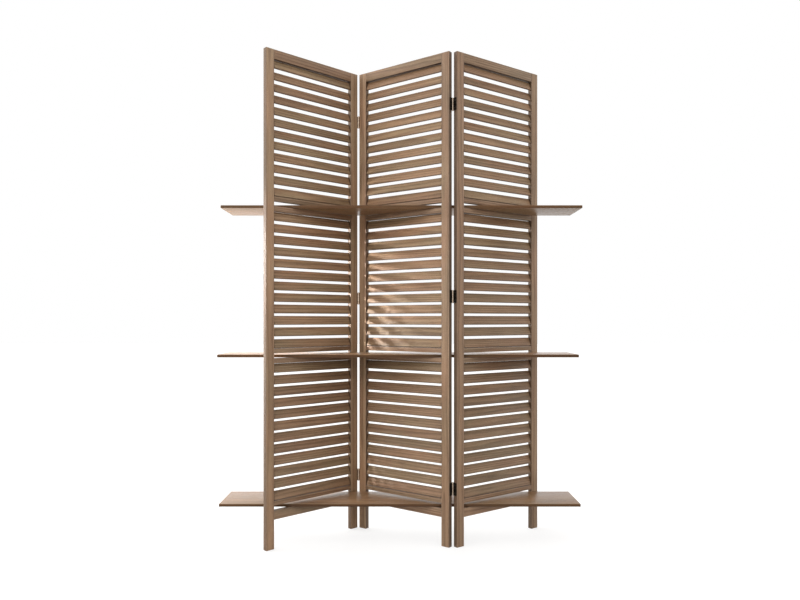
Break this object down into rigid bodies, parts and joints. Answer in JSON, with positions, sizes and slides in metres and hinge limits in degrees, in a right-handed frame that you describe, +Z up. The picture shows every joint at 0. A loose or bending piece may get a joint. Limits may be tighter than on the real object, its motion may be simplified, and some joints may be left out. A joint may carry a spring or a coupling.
{
  "type": "folding louvred room divider",
  "caption": "Folding room divider of hinged louvred wooden panels standing in a zigzag, with long shelves threaded through slots in the panels.",
  "frame": {"origin": "on the floor under the middle of the whole divider's bounding box", "axes": "+X along the shelves to the viewer's right, +Y away from the viewer, +Z up"},
  "size_m": [1.268, 0.2878, 1.7001],
  "materials": {
    "frame_wood": "mid brown washed wood with visible grain, satin",
    "shelf_wood": "mid brown washed wood with darker edges and lengthwise grain, satin",
    "dark_hinge_metal": "dark bronze lacquered steel, satin"
  },
  "bodies": {
    "centre_panel": {"centre_panel_left_stile_with_slats": "frame_wood", "centre_panel_right_stile": "frame_wood", "centre_panel_bottom_rail": "frame_wood", "centre_panel_bottom_slot_upper_rail": "frame_wood", "centre_panel_middle_slot_lower_rail": "frame_wood", "centre_panel_middle_slot_upper_rail": "frame_wood", "centre_panel_top_slot_lower_rail": "frame_wood", "centre_panel_top_slot_upper_rail": "frame_wood", "centre_panel_top_rail": "frame_wood", "centre_panel_rear_hinge_leaf_lower": "dark_hinge_metal", "rear_hinge_pin_lower": "dark_hinge_metal", "centre_panel_rear_hinge_leaf_middle": "dark_hinge_metal", "rear_hinge_pin_middle": "dark_hinge_metal", "centre_panel_rear_hinge_leaf_upper": "dark_hinge_metal", "rear_hinge_pin_upper": "dark_hinge_metal", "centre_panel_front_hinge_leaf_lower": "dark_hinge_metal", "front_hinge_pin_lower": "dark_hinge_metal", "centre_panel_front_hinge_leaf_middle": "dark_hinge_metal", "front_hinge_pin_middle": "dark_hinge_metal", "centre_panel_front_hinge_leaf_upper": "dark_hinge_metal", "front_hinge_pin_upper": "dark_hinge_metal"},
    "left_panel": {"left_panel_left_stile_with_slats": "frame_wood", "left_panel_right_stile": "frame_wood", "left_panel_bottom_rail": "frame_wood", "left_panel_bottom_slot_upper_rail": "frame_wood", "left_panel_middle_slot_lower_rail": "frame_wood", "left_panel_middle_slot_upper_rail": "frame_wood", "left_panel_top_slot_lower_rail": "frame_wood", "left_panel_top_slot_upper_rail": "frame_wood", "left_panel_top_rail": "frame_wood", "left_panel_rear_hinge_leaf_lower": "dark_hinge_metal", "left_panel_rear_hinge_leaf_middle": "dark_hinge_metal", "left_panel_rear_hinge_leaf_upper": "dark_hinge_metal"},
    "right_panel": {"right_panel_left_stile": "frame_wood", "right_panel_right_stile_with_slats": "frame_wood", "right_panel_bottom_rail": "frame_wood", "right_panel_bottom_slot_upper_rail": "frame_wood", "right_panel_middle_slot_lower_rail": "frame_wood", "right_panel_middle_slot_upper_rail": "frame_wood", "right_panel_top_slot_lower_rail": "frame_wood", "right_panel_top_slot_upper_rail": "frame_wood", "right_panel_top_rail": "frame_wood", "right_panel_front_hinge_leaf_lower": "dark_hinge_metal", "right_panel_front_hinge_leaf_middle": "dark_hinge_metal", "right_panel_front_hinge_leaf_upper": "dark_hinge_metal"},
    "middle_shelf": {"middle_shelf": "shelf_wood"},
    "top_shelf": {"top_shelf": "shelf_wood"},
    "bottom_shelf": {"bottom_shelf": "shelf_wood"}
  },
  "joints": [
    {"name": "left_panel_fold", "type": "hinge", "parent": "centre_panel", "child": "left_panel", "pos_m": [-0.1554, 0.1293, 0.86], "axis": [0, 0, 1], "range_deg": [0, 100]},
    {"name": "right_panel_fold", "type": "hinge", "parent": "centre_panel", "child": "right_panel", "pos_m": [0.1824, -0.09346, 0.86], "axis": [0, 0, 1], "range_deg": [0, 106.7]},
    {"name": "shelf_swing", "type": "hinge", "parent": "centre_panel", "child": "middle_shelf", "pos_m": [0.0135, 0.01792, 0.654], "axis": [0, 0, 1], "range_deg": [0, 53.4]},
    {"name": "top_shelf_slide", "type": "slide", "parent": "middle_shelf", "child": "top_shelf", "axis": [1, 0, 0], "range_m": [-0.4, 0.4]},
    {"name": "bottom_shelf_slide", "type": "slide", "parent": "middle_shelf", "child": "bottom_shelf", "axis": [1, 0, 0], "range_m": [-0.4, 0.4]}
  ],
  "couplings": [
    {"joint": "right_panel_fold", "follows": "left_panel_fold", "ratio": 1.0664},
    {"joint": "shelf_swing", "follows": "left_panel_fold", "ratio": 0.53322}
  ]
}
